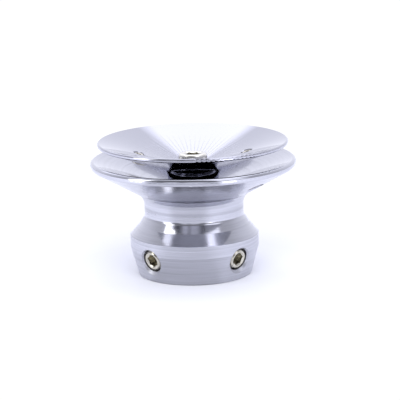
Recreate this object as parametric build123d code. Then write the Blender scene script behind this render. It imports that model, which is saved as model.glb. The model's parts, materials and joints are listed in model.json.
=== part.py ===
"""Socket adapter of a modular leg prosthesis: a double clamping disc on a pyramid receiver.

The conical end of a plastic socket is clamped between the two discs by the centre bolt. A male
pyramid enters the receiver's mouth from below and is held and aligned by four set screws.
Millimetres, +Z up along the turning axis, origin at the centre of the mouth's bottom face.
Azimuths turn from +X towards +Y. The front is -Y.
"""

import os
from math import cos, radians, sin, sqrt, tan

from build123d import *

# Receiver cup
cup_radius = 22.5
cup_rim_radius = 19.85
cup_rim_round = 0.75
wall_taper = 15.0
band_top = 14.2
band_bottom = (cup_radius - cup_rim_radius) / tan(radians(wall_taper))
pocket_radius = 13.5
pocket_roof = 16.5
pocket_roof_round = 1.0
seat_sphere_radius = 24.0
seat_mouth_radius = 17.6

# Shoulder and neck
ridge_radius, ridge_z = 19.35, 17.9
neck_radius = 17.35
neck_bottom = 21.0
neck_bottom_round = 2.0
neck_top = 26.5
neck_top_round = 5.0

# Lower disc
crease_radius, crease_z = 19.3, 28.85
underside_slope = 29.8
lower_radius = 35.84
lower_rim_top = 40.53
lower_dish_radius = 34.7
rim_round = 1.1
gap_slope = 20.0

# Upper disc
upper_radius = 33.2
upper_rim_top = 47.0
upper_rim_bottom = 45.55
upper_dish_radius = 32.55
upper_under_radius = 32.55
dish_slope = 16.7
upper_rim_round = 0.6

# Spigot of the upper disc and its counterbore in the neck
counterbore_radius = 9.0
counterbore_floor = 26.5
running_clearance = 0.05
spigot_radius = counterbore_radius - running_clearance
spigot_chamfer = 0.6
spigot_root_round = 4.0
head_recess_radius = 6.3
head_recess_floor = 33.3

# Centre bolt, M6 socket head, with its two washers
bolt_radius = 3.0
bolt_length = 16.0
bolt_point_chamfer = 0.6
bolt_head_radius = 5.0
bolt_head_height = 6.0
bolt_head_round = 0.6
bolt_key_width = 5.0
bolt_key_depth = 3.0
bolt_hole_radius = 3.2
washer_thickness = 1.6
flat_washer_inner, flat_washer_outer = 3.2, 6.0
lock_washer_inner, lock_washer_outer = 3.1, 5.9
lock_washer_split = 1.0
lock_washer_split_azimuth = 60.0
bolt_seat_z = head_recess_floor + 2 * washer_thickness

# Receiver set screws, M8 with a hexagon socket, square to the tapered wall
set_screw_radius = 4.0
set_screw_length = 10.0
set_screw_point_chamfer = 1.2
set_screw_recess = 0.8
set_screw_key_width = 4.0
set_screw_key_depth = 4.0
set_screw_z = 7.5
set_screw_mouth_radius = 5.0
set_screw_hole_depth = 12.0
set_screw_azimuths = {
    "set_screw_front_right": -45.0,
    "set_screw_rear_right": 45.0,
    "set_screw_rear_left": 135.0,
    "set_screw_front_left": 225.0,
}

# Lower disc grub screws, M6, square to the underside
lower_grub_radius = 3.0
lower_grub_length = 3.0
lower_grub_recess = 1.0
lower_grub_key_width = 3.0
lower_grub_key_depth = 2.0
lower_grub_circle_radius = 26.6
lower_grub_mouth_radius = 3.5
lower_grub_hole_depth = 8.0
lower_grub_azimuths = {"lower_grub_screw_right": -38.0, "lower_grub_screw_left": 142.0}

# Upper disc grub screws, M4, square to the dish
upper_grub_radius = 2.0
upper_grub_length = 1.8
upper_grub_recess = 0.25
upper_grub_key_width = 2.0
upper_grub_key_depth = 1.2
upper_grub_circle_radius = 18.6
upper_grub_mouth_radius = 2.25
upper_grub_hole_depth = 4.0
upper_grub_azimuths = {"upper_grub_screw_right": 0.0, "upper_grub_screw_left": 180.0}

screw_chamfer = 0.4


def turned(corners):
    """A solid turned about Z from a closed half profile of (radius, height, corner rounding)."""
    outline = FilletPolyline(
        [(r, z) for r, z, _ in corners], radius=[f for _, _, f in corners], close=True
    )
    return revolve(Plane.XZ * make_face(outline), Axis.Z)


def lower_dish_z(r):
    """Height of the lower disc's upper face."""
    return lower_rim_top - (lower_dish_radius - r) * tan(radians(gap_slope))


def underside_z(r):
    """Height of the lower disc's conical underside."""
    return crease_z + (r - crease_radius) * tan(radians(underside_slope))


def upper_dish_z(r):
    """Height of the upper disc's upper face."""
    return upper_rim_top - (upper_dish_radius - r) * tan(radians(dish_slope))


def upper_under_z(r):
    """Height of the upper disc's underside."""
    return upper_rim_bottom - (upper_under_radius - r) * tan(radians(gap_slope))


def screw_plane(radius, z, azimuth, elevation):
    """Plane whose origin lies on a screw's axis and whose Z points the way the screw comes out."""
    a, e = radians(azimuth), radians(elevation)
    out = (cos(a) * cos(e), sin(a) * cos(e), sin(e))
    side = (-sin(a), cos(a), 0)
    return Plane(origin=(radius * cos(a), radius * sin(a), z), x_dir=side, z_dir=out)


def cup_screw_plane(azimuth):
    wall = cup_rim_radius + set_screw_z * tan(radians(wall_taper))
    return screw_plane(wall, set_screw_z, azimuth, -wall_taper)


def lower_grub_plane(azimuth):
    r = lower_grub_circle_radius
    return screw_plane(r, underside_z(r), azimuth, underside_slope - 90)


def upper_grub_plane(azimuth):
    r = upper_grub_circle_radius
    return screw_plane(r, upper_dish_z(r), azimuth, 90 + dish_slope)


def screw_hole(plane, radius, mouth_radius, depth):
    """A hole going in from the plane, with a 45 degree countersink at the plane."""
    above = 2.0
    sink = mouth_radius - radius
    bore = Pos(0, 0, above - (depth + above) / 2) * Cylinder(radius, depth + above)
    mouth = Pos(0, 0, (above - sink) / 2) * Cone(radius, mouth_radius + above, above + sink)
    return plane * (bore + mouth)


def hex_socket(across_flats, depth, top):
    """The space that a hexagon key fills, from the top downwards."""
    prism = extrude(RegularPolygon(across_flats / 2, 6, major_radius=False), -depth)
    return Pos(0, 0, top) * prism


def grub_screw(plane, radius, length, recess, point_chamfer, key_width, key_depth):
    """A headless screw with its outer end a little below the plane."""
    stud = turned(
        [
            (0, -length, 0),
            (radius - point_chamfer, -length, 0),
            (radius, -length + point_chamfer, 0),
            (radius, -screw_chamfer, 0),
            (radius - screw_chamfer, 0, 0),
            (0, 0, 0),
        ]
    )
    stud -= hex_socket(key_width, key_depth, 0)
    return plane * (Pos(0, 0, -recess) * stud)


def receiver_body():
    """Cup, neck and lower disc, turned in one piece."""
    body = turned(
        [
            (pocket_radius, 0, 0),
            (cup_rim_radius, 0, cup_rim_round),
            (cup_radius, band_bottom, 0),
            (cup_radius, band_top, 0),
            (ridge_radius, ridge_z, 0),
            (neck_radius, neck_bottom, neck_bottom_round),
            (neck_radius, neck_top, neck_top_round),
            (crease_radius, crease_z, 0),
            (lower_radius, underside_z(lower_radius), rim_round),
            (lower_radius, lower_rim_top, rim_round),
            (lower_dish_radius, lower_rim_top, 0),
            (counterbore_radius, lower_dish_z(counterbore_radius), 0),
            (counterbore_radius, counterbore_floor, 0),
            (bolt_radius + running_clearance, counterbore_floor, 0),
            (bolt_radius + running_clearance, pocket_roof, 0),
            (pocket_radius, pocket_roof, pocket_roof_round),
        ]
    )
    seat_drop = sqrt(seat_sphere_radius**2 - seat_mouth_radius**2)
    body -= Pos(0, 0, -seat_drop) * Sphere(seat_sphere_radius)
    for azimuth in set_screw_azimuths.values():
        body -= screw_hole(
            cup_screw_plane(azimuth),
            set_screw_radius + running_clearance,
            set_screw_mouth_radius,
            set_screw_hole_depth,
        )
    for azimuth in lower_grub_azimuths.values():
        body -= screw_hole(
            lower_grub_plane(azimuth),
            lower_grub_radius + running_clearance,
            lower_grub_mouth_radius,
            lower_grub_hole_depth,
        )
    return body


def upper_disc():
    """Thin upper dish with the spigot that centres it in the neck."""
    disc = turned(
        [
            (head_recess_radius, upper_dish_z(head_recess_radius), 0),
            (upper_dish_radius, upper_rim_top, 0),
            (upper_radius, upper_rim_top, upper_rim_round),
            (upper_radius, upper_rim_bottom, upper_rim_round),
            (upper_under_radius, upper_rim_bottom, 0),
            (spigot_radius, upper_under_z(spigot_radius), spigot_root_round),
            (spigot_radius, counterbore_floor + spigot_chamfer, 0),
            (spigot_radius - spigot_chamfer, counterbore_floor, 0),
            (bolt_hole_radius, counterbore_floor, 0),
            (bolt_hole_radius, head_recess_floor, 0),
            (head_recess_radius, head_recess_floor, 0),
        ]
    )
    for azimuth in upper_grub_azimuths.values():
        disc -= screw_hole(
            upper_grub_plane(azimuth),
            upper_grub_radius + running_clearance,
            upper_grub_mouth_radius,
            upper_grub_hole_depth,
        )
    return disc


def centre_bolt():
    """Socket head cap screw, head upwards."""
    point = bolt_seat_z - bolt_length
    head_top = bolt_seat_z + bolt_head_height
    bolt = turned(
        [
            (0, point, 0),
            (bolt_radius - bolt_point_chamfer, point, 0),
            (bolt_radius, point + bolt_point_chamfer, 0),
            (bolt_radius, bolt_seat_z, 0),
            (bolt_head_radius, bolt_seat_z, 0),
            (bolt_head_radius, head_top, bolt_head_round),
            (0, head_top, 0),
        ]
    )
    return bolt - hex_socket(bolt_key_width, bolt_key_depth, head_top)


def washer(inner, outer, bottom):
    ring = Cylinder(outer, washer_thickness) - Cylinder(inner, washer_thickness)
    return Pos(0, 0, bottom + washer_thickness / 2) * ring


def lock_washer():
    """Split spring washer, flattened under the bolt head."""
    bottom = head_recess_floor + washer_thickness
    middle = bottom + washer_thickness / 2
    split = Pos(lock_washer_outer, 0, 0) * Box(
        2 * lock_washer_outer, lock_washer_split, washer_thickness
    )
    ring = washer(lock_washer_inner, lock_washer_outer, bottom)
    return ring - Pos(0, 0, middle) * Rot(0, 0, lock_washer_split_azimuth) * split


parts = {
    "receiver_body": receiver_body(),
    "upper_disc": upper_disc(),
    "centre_bolt": centre_bolt(),
    "lock_washer": lock_washer(),
    "flat_washer": washer(flat_washer_inner, flat_washer_outer, head_recess_floor),
}
for name, azimuth in set_screw_azimuths.items():
    parts[name] = grub_screw(
        cup_screw_plane(azimuth),
        set_screw_radius,
        set_screw_length,
        set_screw_recess,
        set_screw_point_chamfer,
        set_screw_key_width,
        set_screw_key_depth,
    )
for name, azimuth in lower_grub_azimuths.items():
    parts[name] = grub_screw(
        lower_grub_plane(azimuth),
        lower_grub_radius,
        lower_grub_length,
        lower_grub_recess,
        screw_chamfer,
        lower_grub_key_width,
        lower_grub_key_depth,
    )
for name, azimuth in upper_grub_azimuths.items():
    parts[name] = grub_screw(
        upper_grub_plane(azimuth),
        upper_grub_radius,
        upper_grub_length,
        upper_grub_recess,
        screw_chamfer,
        upper_grub_key_width,
        upper_grub_key_depth,
    )

os.makedirs("parts", exist_ok=True)
for name, shape in parts.items():
    export_step(shape, f"parts/{name}.step")
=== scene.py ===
"""Looks of the prosthetic socket adapter: machined metals, threaded screws and a small white studio.

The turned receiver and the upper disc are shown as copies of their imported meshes, cut finer and
with exact normals. The bolt, washers and screws are rebuilt with threads, knurl and sockets
inside the same space. Metres, +Z up, the front is -Y.
"""

import json
from math import cos, hypot, pi, radians, sin, tan, tau

import bmesh
import bpy
from mathutils import Matrix, Quaternion, Vector


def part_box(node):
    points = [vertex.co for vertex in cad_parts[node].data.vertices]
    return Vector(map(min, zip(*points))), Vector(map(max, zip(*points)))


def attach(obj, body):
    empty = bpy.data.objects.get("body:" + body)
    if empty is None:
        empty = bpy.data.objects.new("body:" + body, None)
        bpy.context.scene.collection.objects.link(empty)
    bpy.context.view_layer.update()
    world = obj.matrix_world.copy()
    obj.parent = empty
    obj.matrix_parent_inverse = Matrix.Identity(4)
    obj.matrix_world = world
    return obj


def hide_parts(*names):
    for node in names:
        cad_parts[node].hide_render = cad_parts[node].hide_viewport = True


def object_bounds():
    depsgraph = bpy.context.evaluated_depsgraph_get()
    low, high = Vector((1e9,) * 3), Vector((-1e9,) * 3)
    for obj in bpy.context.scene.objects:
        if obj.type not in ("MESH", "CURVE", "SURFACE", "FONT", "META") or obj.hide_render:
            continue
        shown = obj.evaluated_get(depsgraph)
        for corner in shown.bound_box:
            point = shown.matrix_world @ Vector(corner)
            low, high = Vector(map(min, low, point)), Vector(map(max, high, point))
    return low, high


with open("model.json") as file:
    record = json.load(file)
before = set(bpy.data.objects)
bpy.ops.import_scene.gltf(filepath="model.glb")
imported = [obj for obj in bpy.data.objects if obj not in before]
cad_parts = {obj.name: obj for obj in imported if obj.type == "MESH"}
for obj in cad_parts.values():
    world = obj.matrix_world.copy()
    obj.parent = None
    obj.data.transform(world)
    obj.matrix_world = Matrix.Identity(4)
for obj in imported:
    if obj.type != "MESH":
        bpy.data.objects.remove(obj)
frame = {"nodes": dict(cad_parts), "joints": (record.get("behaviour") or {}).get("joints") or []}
cad_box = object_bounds()

mm = 0.001
aim_height = 14.16 * mm
camera_distance = 0.70
camera_elevation = radians(13.62)
camera_roll = radians(1.30)
camera_lens = 179.4
camera_shift = (0.0135, 0.080)
light_aim_height = 30 * mm

# Threads in mm (pitch, depth) by nominal radius
threads = {4.0: (1.25, 0.68), 3.0: (1.0, 0.54), 2.0: (0.7, 0.38)}
rows_per_turn = 10
columns = 96
sharp_edge = radians(28)

# Headless screws in mm by the start of their node's name: hexagon, its depth, chamfer of the point
headless_screws = {
    "set_screw": (4.0, 4.0, 1.2),
    "lower_grub": (3.0, 2.0, 0.4),
    "upper_grub": (2.0, 1.2, 0.4),
}

# The thin discs start outside this radius and above this height in mm
disc_inner_radius = 9.5
disc_lowest = 29.5

# Faces and points are taken for turned ones within these limits: skew, and mm off the outline
turned_skew = 0.1
new_point_reach = 0.04
packed_point_reach = 0.004

# The table is clear under the cup, so that the cup's underside is lit when it is seen from below
covered_radius = 19.0
table_gap = 0.02
table_half_width = 1.6


# ---------------------------------------------------------------- meshes


def shown(name, mesh, node, body, material):
    """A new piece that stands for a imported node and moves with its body."""
    obj = bpy.data.objects.new(name, mesh)
    bpy.context.scene.collection.objects.link(obj)
    obj.data.materials.append(material)
    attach(obj, body)
    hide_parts(node)


def finished(name, bm, sharp, matrix=Matrix()):
    """Cleans a bmesh, marks its sharp edges and returns the mesh, put in place by the matrix."""
    bmesh.ops.remove_doubles(bm, verts=bm.verts, dist=1e-7)
    bmesh.ops.dissolve_degenerate(bm, edges=bm.edges, dist=1e-7)
    bmesh.ops.recalc_face_normals(bm, faces=bm.faces)
    for face in bm.faces:
        face.smooth = True
    for edge in bm.edges:
        if len(edge.link_faces) != 2 or edge.calc_face_angle(0) > sharp:
            edge.smooth = False
    mesh = bpy.data.meshes.new(name)
    bm.to_mesh(mesh)
    bm.free()
    mesh.transform(matrix)
    return mesh


def ring(radius, z, count=columns):
    """A round loop; the radius may be a function of the angle."""
    at = radius if callable(radius) else lambda angle: radius
    return [
        (at(tau * i / count) * cos(tau * i / count), at(tau * i / count) * sin(tau * i / count), z)
        for i in range(count)
    ]


def hexagon(across_flats):
    """Radius of a hexagon as a function of the angle."""
    return lambda angle: across_flats / 2 / cos(angle % (pi / 3) - pi / 6)


def socket_loops(face_radius, across_flats, depth, top, count=columns):
    """Loops from a round end face into a hexagon socket with a chamfered mouth and a drilled end."""
    key = hexagon(across_flats)
    mouth = across_flats * 0.66
    drop = [
        (key(tau * i / count) * cos(tau * i / count), key(tau * i / count) * sin(tau * i / count),
         top - (mouth - key(tau * i / count)) * tan(radians(30)))
        for i in range(count)
    ]
    floor_z = top - depth
    return [
        ring(face_radius, top, count),
        ring(mouth, top, count),
        drop,
        ring(key, floor_z + 0.15 * mm, count),
        ring(lambda angle: key(angle) - 0.12 * mm, floor_z, count),
        ring(across_flats * 0.42, floor_z, count),
        [(0, 0, floor_z - across_flats * 0.14)],
    ]


def thread_rows(bm, radius, pitch, depth, bottom, top, limit):
    """A helical thread between two heights; limit(z) gives the largest radius at a height."""

    def profile(phase):
        """Trapezoid with 30 degree flanks: crest, flank, root, flank."""
        crest, flank = 0.16, 0.34
        p = phase % 1.0
        if p < crest:
            return radius
        if p < crest + flank:
            return radius - depth * (p - crest) / flank
        if p < 1 - flank:
            return radius - depth
        return radius - depth * (1 - p) / flank

    turns = int((top - bottom) / pitch) + 2
    first = -rows_per_turn
    last = turns * rows_per_turn
    verts = {}
    for k in range(first, last + 1):
        for j in range(columns):
            angle = tau * j / columns
            z = bottom + pitch * (k / rows_per_turn + j / columns)
            z = min(max(z, bottom), top)
            r = min(profile(k / rows_per_turn), limit(z))
            verts[k, j] = bm.verts.new((r * cos(angle), r * sin(angle), z))
    for k in range(first, last):
        for j in range(columns):
            step = 0 if j + 1 < columns else rows_per_turn
            a, b = (k, j), (k + 1, j)
            c, d = (k + 1 + step, (j + 1) % columns), (k + step, (j + 1) % columns)
            if c in verts and d in verts:
                bm.faces.new([verts[a], verts[d], verts[c], verts[b]])


def add_strip(bm, loops):
    """Faces from each loop to the next; a loop of one point closes the end."""
    rings = [[bm.verts.new(p) for p in loop] for loop in loops]
    for low, high in zip(rings, rings[1:]):
        count = max(len(low), len(high))
        for i in range(count):
            k = (i + 1) % count
            corners = [low[i % len(low)], low[k % len(low)]]
            corners += [high[k % len(high)], high[i % len(high)]]
            face = list(dict.fromkeys(corners))
            if len(face) > 2:
                bm.faces.new(face)


def remove_slivers(bm):
    """Joins the points that the thread's cut ends leave in one place and drops their faces."""
    bmesh.ops.remove_doubles(bm, verts=bm.verts, dist=2e-7)
    flat = [f for f in bm.faces if f.calc_area() < 1e-14]
    bmesh.ops.delete(bm, geom=flat, context="FACES_ONLY")
    loose = [v for v in bm.verts if not v.link_faces]
    bmesh.ops.delete(bm, geom=loose, context="VERTS")


def along_axis(node, axis):
    """Matrix that puts local +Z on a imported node's own axis, and the node's two ends along it."""
    turn = Vector((0, 0, 1)).rotation_difference(axis).to_matrix()
    points = [turn.inverted() @ v.co for v in frame["nodes"][node].data.vertices]
    low = Vector([min(p[i] for p in points) for i in range(3)])
    high = Vector([max(p[i] for p in points) for i in range(3)])
    centre = turn @ Vector(((low.x + high.x) / 2, (low.y + high.y) / 2, high.z))
    radius = (high.x - low.x) / 2
    return Matrix.Translation(centre) @ turn.to_4x4(), radius, high.z - low.z


def headless_screw(node, axis, key, key_depth, point_chamfer, material):
    """Hexagon socket screw with a helical thread and a cup point."""
    matrix, radius, length = along_axis(node, axis)
    nominal = round(radius / mm * 2) / 2
    pitch, depth = (v * mm for v in threads[nominal])
    face = radius * 0.87
    neck = radius * 0.32
    top_round = face - radius * 0.11
    cup = (radius - point_chamfer) * 0.86

    def limit(z):
        from_point = radius - point_chamfer + (z + length)
        from_face = top_round - z
        from_neck = face - (z + neck)
        return min(radius, from_point, from_face, max(face, from_neck))

    bm = bmesh.new()
    thread_rows(bm, radius, pitch, depth, -length, 0.0, limit)
    add_strip(bm, socket_loops(top_round, key, key_depth, 0.0))
    point = [ring(radius - point_chamfer, -length), ring(cup, -length)]
    add_strip(bm, point + [[(0, 0, -length + cup * 0.5)]])
    remove_slivers(bm)
    mesh = finished(node, bm, sharp_edge, matrix)
    shown(node + "_detail", mesh, node, node, material)


def centre_bolt(material):
    """Socket head cap screw: threaded shank, knurled head with a rolled top edge."""
    low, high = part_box("centre_bolt")
    head_radius = (high.x - low.x) / 2
    head_height = 6.0 * mm
    seat = high.z - head_height
    shank = 3.0 * mm
    tip_chamfer = 0.6 * mm
    undercut = 0.6 * mm
    key, key_depth = 5.0 * mm, 3.0 * mm
    pitch, depth = (v * mm for v in threads[3.0])
    teeth = 48
    count = teeth * 6

    def knurled(amount, radius=head_radius):
        def at(angle):
            phase = angle * teeth / tau % 1.0
            return radius - amount * abs(2 * phase - 1) ** 0.8
        return at

    edge = 0.75 * mm
    face = head_radius - edge
    rolled = [
        ring(face + edge * sin(a), high.z - edge + edge * cos(a), count)
        for a in (radians(d) for d in (90, 70, 50, 30, 12, 0))
    ]
    rolled[0] = ring(knurled(0.04 * mm, head_radius - 0.10 * mm), high.z - edge - 0.1 * mm, count)
    head = [
        [(0, 0, seat)],
        ring(head_radius - 0.35 * mm, seat, count),
        ring(head_radius - 0.12 * mm, seat + 0.25 * mm, count),
        ring(knurled(0.22 * mm), seat + 0.45 * mm, count),
        ring(knurled(0.22 * mm), high.z - edge - 0.35 * mm, count),
    ]
    bm = bmesh.new()
    add_strip(bm, head + rolled + socket_loops(face, key, key_depth, high.z, count)[1:])
    remove_slivers(bm)

    def limit(z):
        return min(shank, shank - tip_chamfer + (z - low.z))

    thread_rows(bm, shank, pitch, depth, low.z, seat - undercut, limit)
    add_strip(bm, [ring(shank - tip_chamfer, low.z), [(0, 0, low.z)]])
    shank_top = seat + 0.02 * mm
    add_strip(bm, [ring(shank, seat - undercut), ring(shank, shank_top), [(0, 0, shank_top)]])
    remove_slivers(bm)
    mesh = finished("centre_bolt", bm, sharp_edge)
    shown("centre_bolt_detail", mesh, "centre_bolt", "clamp_bolt", material)


def receiver_outline():
    """Corners of the receiver's turned profile in mm: radius, height, rounding."""
    return [
        (13.5, 0, 0), (19.85, 0, 0.75), (22.5, 2.65 / tan(radians(15)), 0), (22.5, 14.2, 0),
        (19.35, 17.9, 0), (17.35, 21.0, 2.0), (17.35, 26.5, 5.0), (19.3, 28.85, 0),
        (35.84, 28.85 + 16.54 * tan(radians(29.8)), 1.1), (35.84, 40.53, 1.1), (34.7, 40.53, 0),
        (9.0, 40.53 - 25.7 * tan(radians(20)), 0), (9.0, 26.5, 0), (3.05, 26.5, 0),
        (3.05, 16.5, 0), (13.5, 16.5, 1.0),
    ]


def disc_outline():
    """Corners of the upper disc's turned profile in mm: radius, height, rounding."""
    return [
        (6.3, 47.0 - 26.25 * tan(radians(16.7)), 0), (32.55, 47.0, 0), (33.2, 47.0, 0.6),
        (33.2, 45.55, 0.6), (32.55, 45.55, 0), (8.95, 45.55 - 23.6 * tan(radians(20)), 4.0),
        (8.95, 27.1, 0), (8.35, 26.5, 0), (3.2, 26.5, 0), (3.2, 33.3, 0), (6.3, 33.3, 0),
    ]


def outline_pieces(corners):
    """Straight runs (start, end, normal) and roundings (centre, radius, side) of an outline."""
    points = [Vector((r, z)) * mm for r, z, _ in corners]
    sizes = [size * mm for _, _, size in corners]
    count = len(points)
    straight, rounded, cuts = [], [], []
    for i, (point, size) in enumerate(zip(points, sizes)):
        before = (points[i - 1] - point).normalized()
        after = (points[(i + 1) % count] - point).normalized()
        half = before.angle(after) / 2
        cuts.append((point + before * size / tan(half), point + after * size / tan(half)))
        if size:
            centre = point + (before + after).normalized() * size / sin(half)
            side = 1 if before.cross(after) < 0 else -1
            rounded.append((centre, size, side))
    for i in range(count):
        start, end = cuts[i][1], cuts[(i + 1) % count][0]
        run = (end - start).normalized()
        straight.append((start, end, Vector((run.y, -run.x))))
    return straight, rounded


def outline_matches(pieces, point, near):
    """Every (distance, nearest point, normal) of the outline's pieces within near of a point."""
    straight, rounded = pieces
    found = []
    for start, end, normal in straight:
        run = end - start
        along = min(max((point - start).dot(run) / run.length_squared, 0), 1)
        foot = start + run * along
        found.append(((foot - point).length, foot, normal))
    for centre, radius, side in rounded:
        out = (point - centre).normalized()
        foot = centre + out * radius
        found.append(((foot - point).length, foot, out * side))
    return [match for match in found if match[0] < near]


def turned_way(face):
    """How far a face is from a turned one, and the way it faces in the turning plane."""
    centre = face.calc_center_median()
    out = Vector((centre.x, centre.y)).normalized()
    skew = abs(out.x * face.normal.y - out.y * face.normal.x)
    return skew, Vector((out.x * face.normal.x + out.y * face.normal.y, face.normal.z))


def refine_discs(bm, pieces):
    """Divides the faces of the thin discs and puts the new points on the exact surface."""

    def in_disc(vert):
        radius = hypot(vert.co.x, vert.co.y)
        return radius > disc_inner_radius * mm and vert.co.z > disc_lowest * mm

    edges = set()
    for face in bm.faces:
        if all(in_disc(vert) for vert in face.verts) and turned_way(face)[0] < turned_skew:
            edges.update(face.edges)
    old = set(bm.verts)
    bmesh.ops.subdivide_edges(bm, edges=list(edges), cuts=2, use_grid_fill=True)
    bmesh.ops.triangulate(bm, faces=[f for f in bm.faces if len(f.verts) > 3])
    for vert in bm.verts:
        if vert in old:
            continue
        radius = hypot(vert.co.x, vert.co.y)
        matches = outline_matches(pieces, Vector((radius, vert.co.z)), new_point_reach * mm)
        if matches:
            foot = min(matches, key=lambda match: match[0])[1]
            scale = foot.x / radius
            vert.co = (vert.co.x * scale, vert.co.y * scale, foot.y)


def turned_copy(node, body, corners, material):
    """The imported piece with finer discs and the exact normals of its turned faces."""
    pieces = outline_pieces(corners)
    bm = bmesh.new()
    bm.from_mesh(frame["nodes"][node].data)
    refine_discs(bm, pieces)
    bm.normal_update()
    exact = {}
    for vert in bm.verts:
        radius = hypot(vert.co.x, vert.co.y)
        if radius > 1 * mm:
            place = Vector((radius, vert.co.z))
            matches = outline_matches(pieces, place, packed_point_reach * mm)
            out = (vert.co.x / radius, vert.co.y / radius)
            exact[vert] = [(n, Vector((n.x * out[0], n.x * out[1], n.y))) for _, _, n in matches]
    chosen = []
    for face in bm.faces:
        face.smooth = True
        skew, facing = turned_way(face)
        for vert in face.verts:
            fitting = [pair for pair in exact.get(vert, ()) if pair[0].dot(facing) > 0.85]
            if fitting and skew < turned_skew:
                chosen.append(max(fitting, key=lambda pair: pair[0].dot(facing))[1])
            else:
                chosen.append(None)
    for edge in bm.edges:
        edge.smooth = len(edge.link_faces) == 2 and edge.calc_face_angle(0) < sharp_edge
    mesh = bpy.data.meshes.new(node)
    bm.to_mesh(mesh)
    bm.free()
    plain = [Vector(n.vector) for n in mesh.corner_normals]
    mesh.normals_split_custom_set([own or other for own, other in zip(chosen, plain)])
    shown(node + "_detail", mesh, node, body, material)


def bevelled_section(inner, outer, bottom, top, edge):
    """Corners of a washer's cross section with bevelled edges."""
    return [
        (inner + edge, bottom), (outer - edge, bottom), (outer, bottom + edge),
        (outer, top - edge), (outer - edge, top), (inner + edge, top),
        (inner, top - edge), (inner, bottom + edge),
    ]


def washer_piece(node, inner, material, edge, split=None):
    """A turned washer, or a spring washer when split gives its gap's azimuth and width."""
    low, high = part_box(node)
    outer = (high.x - low.x) / 2
    section = bevelled_section(inner, outer, low.z, high.z, edge)
    start, span, stations = 0.0, tau, columns
    if split:
        azimuth, width = split
        half = width / (inner + outer)
        start, span, stations = azimuth + half, tau - 2 * half, columns + 1
    bm = bmesh.new()
    rings = []
    for i in range(stations):
        a = start + span * i / columns
        rings.append([bm.verts.new((r * cos(a), r * sin(a), z)) for r, z in section])
    pairs = list(zip(rings, rings[1:]))
    if not split:
        pairs.append((rings[-1], rings[0]))
    for one, two in pairs:
        for i in range(len(section)):
            k = (i + 1) % len(section)
            bm.faces.new([one[i], one[k], two[k], two[i]])
    if split:
        bm.faces.new(rings[0])
        bm.faces.new(rings[-1])
    mesh = finished(node, bm, radians(50))
    shown(node + "_detail", mesh, node, "clamp_bolt", material)


# ---------------------------------------------------------------- materials


class Tree:
    """Short ways to add and join shader nodes."""

    def __init__(self, owner):
        owner.use_nodes = True
        self.tree = owner.node_tree
        self.tree.nodes.clear()

    def add(self, kind, inputs=(), **settings):
        node = self.tree.nodes.new("ShaderNode" + kind)
        for key, value in settings.items():
            setattr(node, key, value)
        for key, value in dict(inputs).items():
            self.put(node.inputs[key], value)
        return node

    def put(self, socket, value):
        if isinstance(value, bpy.types.NodeSocket):
            self.tree.links.new(value, socket)
        else:
            socket.default_value = value

    def math(self, operation, *values):
        node = self.add("Math", operation=operation)
        for i, value in enumerate(values):
            self.put(node.inputs[i], value)
        return node.outputs[0]

    def ramp(self, value, stops):
        """A grey ramp from (position, level) stops."""
        node = self.add("ValToRGB", {"Fac": value})
        elements = node.color_ramp.elements
        while len(elements) < len(stops):
            elements.new(0.5)
        for element, (position, level) in zip(elements, stops):
            element.position = position
            element.color = (level, level, level, 1)
        return node.outputs["Color"]

    def sectors(self, azimuth, stops):
        """A ramp over the azimuth in radians, from stops of (degrees, level)."""
        front = self.math("ADD", self.math("DIVIDE", azimuth, tau), 0.5)
        return self.ramp(front, [(0.5 + a / 360, level) for a, level in stops])

    def blend(self, one, two, factor):
        """Goes from the first number to the second as the factor goes from 0 to 1."""
        node = self.add("Mix", data_type="FLOAT")
        for socket, value in zip(node.inputs[2:4], (one, two)):
            self.put(socket, value)
        self.put(node.inputs[0], factor)
        return node.outputs[0]

    def vary(self, base, noise, amount):
        """Adds a noise of mean 0.5 to a value, scaled and centred on it."""
        return self.math("ADD", base, self.math("MULTIPLY", self.math("SUBTRACT", noise, 0.5), amount))

    def distance(self, x, y):
        squares = (self.math("MULTIPLY", x, x), self.math("MULTIPLY", y, y))
        return self.math("SQRT", self.math("ADD", *squares))

    def noise(self, vector, scale, detail=2.0, rough=0.5):
        node = self.add("TexNoise", {"Vector": vector, "Scale": scale, "Detail": detail,
                                     "Roughness": rough})
        return node.outputs["Fac"]


def turned_coordinates(tree, grooves):
    """Coordinates wound round Z for circular tool marks, then the place, its z, radius and angle."""
    place = tree.add("TexCoord").outputs["Object"]
    split = tree.add("SeparateXYZ", {"Vector": place})
    x, y, z = (split.outputs[i] for i in range(3))
    radius = tree.distance(x, y)
    angle = tree.math("ARCTAN2", y, x)
    along = tree.math("ADD", z, tree.math("MULTIPLY", radius, 0.31))
    wound = tree.add("CombineXYZ", {
        "X": tree.math("MULTIPLY", along, grooves),
        "Y": tree.math("MULTIPLY", tree.math("COSINE", angle), 0.35),
        "Z": tree.math("MULTIPLY", tree.math("SINE", angle), 0.35),
    })
    return wound.outputs[0], place, z, radius, angle


def metal(name, colour, finish):
    """A metal whose roughness, tint and bump come from finish(tree, shader, colour)."""
    material = bpy.data.materials.new(name)
    tree = Tree(material)
    shader = tree.add("BsdfPrincipled", {"Metallic": 1.0})
    output = tree.add("OutputMaterial")
    tree.tree.links.new(shader.outputs[0], output.inputs["Surface"])
    finish(tree, shader, colour)
    return material


def tint(tree, colour, amount, factor):
    """The colour, darkened by up to amount where factor is high."""
    dark = tuple(c * (1 - amount) for c in colour)
    mix = tree.add("Mix", data_type="RGBA")
    tree.put(mix.inputs["Factor"], factor)
    mix.inputs[6].default_value = (*colour, 1)
    mix.inputs[7].default_value = (*dark, 1)
    return mix.outputs[2]


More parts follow.
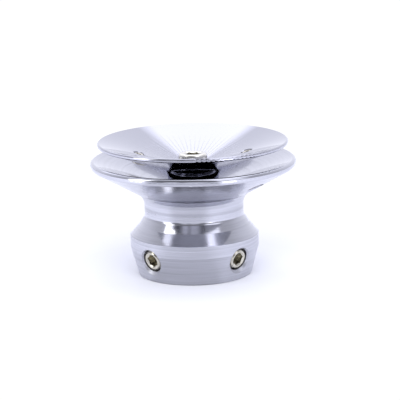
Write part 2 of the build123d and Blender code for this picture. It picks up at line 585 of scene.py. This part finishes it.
def turned_alloy(tree, shader, colour):
    """Satin turned cup, cleaner shoulder, brushed neck with a painted dark reflection band, and
    near-mirror disc.
    """
    height = cad_box[1].z - cad_box[0].z
    wound, place, z, radius, angle = turned_coordinates(tree, 1500.0)
    level = tree.math("DIVIDE", z, height)

    def zones(*stops):
        """A ramp over the height, from stops of (mm, value)."""
        return tree.ramp(level, [(v * mm / height, s) for v, s in stops])

    smooth = zones((0, 0.34), (14.0, 0.30), (14.4, 0.10), (21.0, 0.12), (22.5, 0.26),
                   (28.6, 0.22), (29.2, 0.09), (47.0, 0.07))
    grooves = tree.noise(wound, 1.0, detail=6.0, rough=0.75)
    smudge = tree.noise(place, 90.0, detail=3.0)
    dish_line = tree.math("SUBTRACT", z, tree.math("MULTIPLY", radius, 0.45))
    below = tree.math("LESS_THAN", dish_line, 22.3 * mm)
    above_neck = tree.math("GREATER_THAN", z, 28.85 * mm)
    satin = tree.math("MULTIPLY", tree.math("MULTIPLY", below, 0.10), above_neck)
    smooth = tree.math("ADD", smooth, satin)
    rough = tree.vary(tree.vary(smooth, grooves, 0.25), smudge, 0.05)
    tree.put(shader.inputs["Roughness"], tree.math("MAXIMUM", rough, 0.03))
    contrast = tree.ramp(grooves, [(0.35, 0.0), (0.65, 1.0)])
    # Painted reflection: a dark band round the neck, 23.2 to 24.9 mm up, darkens the colour where a
    # dark reflection falls
    painted_neck_band = zones((23.2, 0.0), (23.9, 1.0), (24.2, 1.0), (24.9, 0.0))
    lined = zones((0, 0.9), (14.0, 0.9), (14.4, 0.45), (21.0, 0.45), (22.5, 0.8), (28.6, 0.5),
                  (29.2, 0.35), (47.0, 0.35))
    # Darkening from the turned lines plus the painted reflection band on the neck
    darker = tree.math("ADD", tree.math("MULTIPLY", contrast, lined),
                       tree.math("MULTIPLY", painted_neck_band, 0.7))
    tree.put(shader.inputs["Base Color"], tint(tree, colour, 0.26, darker))
    depth = zones((0, 1.0), (14.0, 1.0), (14.4, 0.35), (21.0, 0.35), (22.5, 1.0),
                  (28.6, 0.8), (29.2, 0.08), (47.0, 0.05))
    bump = tree.add("Bump", {"Height": tree.math("MULTIPLY", grooves, depth),
                             "Strength": 1.0, "Distance": 1.2e-5})
    tree.put(shader.inputs["Normal"], bump.outputs[0])
    shader.inputs["Anisotropic"].default_value = 0.7
    shader.inputs["Anisotropic Rotation"].default_value = 0.0
    tree.put(shader.inputs["Tangent"],
             tree.add("Tangent", direction_type="RADIAL", axis="Z").outputs[0])


def burnish(tree, angle, radius, z):
    """Fine radial marks round the bolt, left by its knurled head, fading outwards."""
    count = 72
    phase = tree.math("FRACT", tree.math("MULTIPLY", angle, count / tau))
    peak = tree.math("SUBTRACT", 1.0, tree.math("ABSOLUTE", tree.math(
        "MULTIPLY", tree.math("SUBTRACT", phase, 0.5), 5.0)))
    fade = tree.add("MapRange", {"Value": radius, "From Min": 12 * mm, "From Max": 27 * mm,
                                 "To Min": 1.0, "To Max": 0.0})
    dish_line = tree.math("SUBTRACT", z, tree.math("MULTIPLY", radius, 0.3))
    on_top = tree.math("GREATER_THAN", dish_line, 36.4 * mm)
    marks = tree.math("MULTIPLY", tree.math("MAXIMUM", peak, 0.0), fade.outputs[0])
    return tree.math("MULTIPLY", marks, on_top)


def polished_alloy(tree, shader, colour):
    """Mirror finish with faint circular polishing lines."""
    wound, place, z, radius, angle = turned_coordinates(tree, 5000.0)
    lines = tree.noise(wound, 1.0, detail=3.0, rough=0.7)
    smudge = tree.noise(place, 70.0, detail=3.0)
    rough = tree.vary(tree.vary(0.05, smudge, 0.04), lines, 0.03)
    rough = tree.math("ADD", rough, tree.math("MULTIPLY", burnish(tree, angle, radius, z), 0.5))
    tree.put(shader.inputs["Roughness"], tree.math("MAXIMUM", rough, 0.02))
    tree.put(shader.inputs["Base Color"], tint(tree, colour, 0.05, lines))
    bump = tree.add("Bump", {"Height": lines, "Strength": 1.0, "Distance": 2e-7})
    tree.put(shader.inputs["Normal"], bump.outputs[0])


def nickel_steel(tree, shader, colour):
    """Plated screws: uneven bright plating, warmer and duller in patches."""
    place = tree.add("TexCoord").outputs["Object"]
    patches = tree.noise(place, 900.0, detail=4.0, rough=0.6)
    grain = tree.noise(place, 6000.0, detail=2.0)
    rough = tree.math("ADD", 0.10, tree.math("MULTIPLY", patches, 0.22))
    tree.put(shader.inputs["Roughness"], rough)
    tree.put(shader.inputs["Base Color"], tint(tree, colour, 0.30, patches))
    bump = tree.add("Bump", {"Height": tree.math("ADD", patches, tree.math("MULTIPLY", grain, 0.2)),
                             "Strength": 1.0, "Distance": 1.2e-5})
    tree.put(shader.inputs["Normal"], bump.outputs[0])


def spring_steel(tree, shader, colour):
    """Dark tempered steel with rubbed patches."""
    place = tree.add("TexCoord").outputs["Object"]
    patches = tree.noise(place, 700.0, detail=5.0, rough=0.65)
    tree.put(shader.inputs["Roughness"], tree.math("ADD", 0.25, tree.math("MULTIPLY", patches, 0.3)))
    tree.put(shader.inputs["Base Color"], tint(tree, colour, 0.5, patches))
    bump = tree.add("Bump", {"Height": patches, "Strength": 1.0, "Distance": 1.5e-5})
    tree.put(shader.inputs["Normal"], bump.outputs[0])


# ---------------------------------------------------------------- studio


def studio_floor():
    """White table: shaded near the object, plain white to the camera further out, clear from below; in
    reflections it carries painted shade, darker in a front sector and further out.
    """
    half = table_half_width
    mesh = bpy.data.meshes.new("table")
    corners = [(-half, -half, 0), (half, -half, 0), (half, half, 0), (-half, half, 0)]
    mesh.from_pydata(corners, [], [(0, 1, 2, 3)])
    table = bpy.data.objects.new("table", mesh)
    bpy.context.scene.collection.objects.link(table)
    table.location.z = -table_gap * mm
    material = bpy.data.materials.new("table_white")
    tree = Tree(material)
    split = tree.add("SeparateXYZ", {"Vector": tree.add("TexCoord").outputs["Object"]})
    x, y = split.outputs[0], split.outputs[1]
    distance = tree.distance(x, y)
    far = tree.add("MapRange", {"Value": distance, "From Min": 0.045, "From Max": 0.11})
    azimuth = tree.math("ARCTAN2", x, tree.math("MULTIPLY", y, -1))
    # Painted shade, seen only in reflections: darker in a sector in front of the object and darker
    # further out, standing in for the shadow from the camera side and the light falling off
    shaded_sector = tree.sectors(azimuth, [(-54, 0.0), (-47, 1.0), (24, 1.0), (30, 0.0)])
    painted_falloff = tree.ramp(distance, [(0.030, 0.20), (0.060, 0.24), (0.150, 0.36), (0.300, 0.62)])
    camera_ray = tree.add("LightPath").outputs["Is Camera Ray"]
    unseen = tree.math("SUBTRACT", 1.0, camera_ray)
    # The painted shade is taken off the table's albedo for every ray except camera rays
    painted_shade = tree.math("MULTIPLY", tree.math("MULTIPLY", shaded_sector, painted_falloff), unseen)
    white_level = tree.math("SUBTRACT", tree.blend(0.84, 1.0, unseen), painted_shade)
    albedo = tree.add("Mix", data_type="RGBA", blend_type="MULTIPLY")
    albedo.inputs["Factor"].default_value = 1.0
    albedo.inputs[6].default_value = (0.93, 0.94, 1.0, 1)
    tree.put(albedo.inputs[7], white_level)
    shaded = tree.add("BsdfDiffuse", {"Color": albedo.outputs[2]})
    seen = tree.math("MULTIPLY", far.outputs[0], camera_ray)
    white = tree.add("Emission", {"Color": (1, 1, 1, 1), "Strength": 1.05})
    top = tree.add("MixShader", {0: seen, 1: shaded.outputs[0], 2: white.outputs[0]})
    clear = tree.add("BsdfTransparent")
    covered = tree.math("LESS_THAN", distance, covered_radius * mm)
    see_through = tree.math("MAXIMUM", covered, tree.add("NewGeometry").outputs["Backfacing"])
    mix = tree.add("MixShader", {0: see_through, 1: top.outputs[0], 2: clear.outputs[0]})
    output = tree.add("OutputMaterial")
    tree.tree.links.new(mix.outputs[0], output.inputs["Surface"])
    mesh.materials.append(material)


def area_light(name, azimuth, elevation, distance, size, strength):
    """A soft box seen from the object at an azimuth (0 is the front, + is right) and elevation."""
    a, e = radians(azimuth), radians(elevation)
    toward = Vector((sin(a) * cos(e), -cos(a) * cos(e), sin(e)))
    light = bpy.data.lights.new(name, "AREA")
    light.shape = "RECTANGLE"
    light.size, light.size_y = size
    light.energy = strength * size[0] * size[1] * pi
    obj = bpy.data.objects.new(name, light)
    obj.location = Vector((0, 0, light_aim_height)) + toward * distance
    obj.rotation_mode = "QUATERNION"
    obj.rotation_quaternion = toward.to_track_quat("Z", "Y")
    obj.visible_camera = False
    bpy.context.scene.collection.objects.link(obj)
    return obj


def studio_world():
    """White room behind, dim sides and a dark sector at the camera; plain white in the picture."""
    world = bpy.data.worlds.new("studio")
    bpy.context.scene.world = world
    tree = Tree(world)
    split = tree.add("SeparateXYZ", {"Vector": tree.add("TexCoord").outputs["Generated"]})
    x, y, z = (split.outputs[i] for i in range(3))
    azimuth = tree.math("ARCTAN2", x, tree.math("MULTIPLY", y, -1))
    turn = tree.math("DIVIDE", tree.math("ABSOLUTE", azimuth), pi)
    around = tree.ramp(turn, [(0.0, 0.30), (50 / 180, 0.55), (95 / 180, 0.74),
                              (118 / 180, 0.98), (150 / 180, 1.20), (1.0, 1.22)])
    dark = tree.sectors(azimuth, [(-54, 0.0), (-48, 1.0), (25, 1.0), (29, 0.0)])
    low = tree.sectors(azimuth, [
        (-50, 0.55), (-47, 0.20), (-35, 0.22), (-29, 0.95), (-20, 1.40), (-13, 0.50), (-6, 1.20),
        (5, 1.15), (13, 0.62), (19, 0.24), (25, 0.28), (29, 0.72), (60, 0.80), (75, 0.75),
    ])
    elevation = tree.math("ARCSINE", z)
    up = tree.math("DIVIDE", elevation, pi / 2)
    near_floor = tree.ramp(up, [(12.0 / 90, 1.0), (20.0 / 90, 0.0)])
    in_front = tree.ramp(turn, [(60 / 180, 1.0), (75 / 180, 0.0)])
    sides = tree.blend(around, 0.28, dark)
    sides = tree.blend(sides, low, tree.math("MULTIPLY", near_floor, in_front))
    rear = tree.ramp(turn, [(133 / 180, 0.0), (148 / 180, 1.0)])
    leaning = tree.math("SUBTRACT", up, tree.math("MULTIPLY", x, 16 / 90))
    high = tree.ramp(leaning, [(34.5 / 90, 0.0), (38.5 / 90, 1.0)])
    bright = tree.math("MULTIPLY", tree.math("MULTIPLY", rear, high), 0.90)
    right = tree.sectors(azimuth, [(25, 0.0), (29, 1.0), (62, 1.0), (68, 0.0)])
    right = tree.math("MULTIPLY", right, tree.ramp(up, [(18 / 90, 0.0), (24 / 90, 1.0)]))
    right_high = tree.sectors(azimuth, [(62, 0.0), (68, 1.0), (125, 1.0), (135, 0.0)])
    right_high = tree.math("MULTIPLY", right_high, tree.ramp(up, [(53 / 90, 0.0), (58 / 90, 1.0)]))
    window = tree.math("MULTIPLY", tree.math("ADD", right, right_high), 1.2)
    level = tree.math("ADD", tree.math("ADD", sides, bright), window)
    white = tree.add("Background", {"Color": (1, 1, 1, 1), "Strength": 1.0})
    room = tree.add("Background", {"Color": (0.95, 0.962, 1.07, 1), "Strength": level})
    mix = tree.add("MixShader", {0: tree.add("LightPath").outputs["Is Camera Ray"],
                                 1: room.outputs[0], 2: white.outputs[0]})
    output = tree.add("OutputWorld")
    tree.tree.links.new(mix.outputs[0], output.inputs["Surface"])


def camera():
    """Long lens a little above the discs, slightly rolled."""
    data = bpy.data.cameras.new("camera")
    data.lens = camera_lens
    data.shift_x, data.shift_y = camera_shift
    data.clip_start, data.clip_end = 0.01, 10
    obj = bpy.data.objects.new("camera", data)
    back = Vector((0, -cos(camera_elevation), sin(camera_elevation)))
    obj.location = Vector((0, 0, aim_height)) + back * camera_distance
    obj.rotation_mode = "QUATERNION"
    obj.rotation_quaternion = (-back).to_track_quat("-Z", "Y") @ Quaternion((0, 0, 1), -camera_roll)
    bpy.context.scene.collection.objects.link(obj)
    bpy.context.scene.camera = obj


def joint_axis(body):
    """The way a screw comes out: the axis of its body's joint."""
    return next(Vector(j["axis"]) for j in frame["joints"] if j["child"] == body).normalized()


def build():
    """Every visible piece, each with its metal."""
    turned = metal("turned_metal", (0.52, 0.525, 0.575), turned_alloy)
    polished = metal("polished_metal", (0.465, 0.468, 0.52), polished_alloy)
    nickel = metal("nickel_metal", (0.88, 0.86, 0.78), nickel_steel)
    dull = metal("dull_nickel_metal", (0.64, 0.61, 0.52), nickel_steel)
    spring = metal("spring_metal", (0.32, 0.31, 0.30), spring_steel)
    turned_copy("receiver_body", "receiver", receiver_outline(), turned)
    turned_copy("upper_disc", "clamp_disc", disc_outline(), polished)
    for node in frame["nodes"]:
        for start, sizes in headless_screws.items():
            if node.startswith(start):
                headless_screw(node, joint_axis(node), *(v * mm for v in sizes), dull)
    centre_bolt(nickel)
    washer_piece("flat_washer", 3.2 * mm, nickel, 0.15 * mm)
    washer_piece("lock_washer", 3.1 * mm, spring, 0.25 * mm,
                 split=(radians(60), 1.0 * mm))


build()
studio_floor()
studio_world()
area_light("left_strip", -63.5, 22, 0.5, (0.18, 0.50), 2.6)
area_light("right_card", 37, -3, 0.25, (0.07, 0.025), 3.2)
fill = area_light("front_fill", 0, 38, 0.9, (0.9, 0.5), 4.7)
fill.visible_glossy = False
camera()

bpy.context.scene.view_settings.view_transform = "Standard"
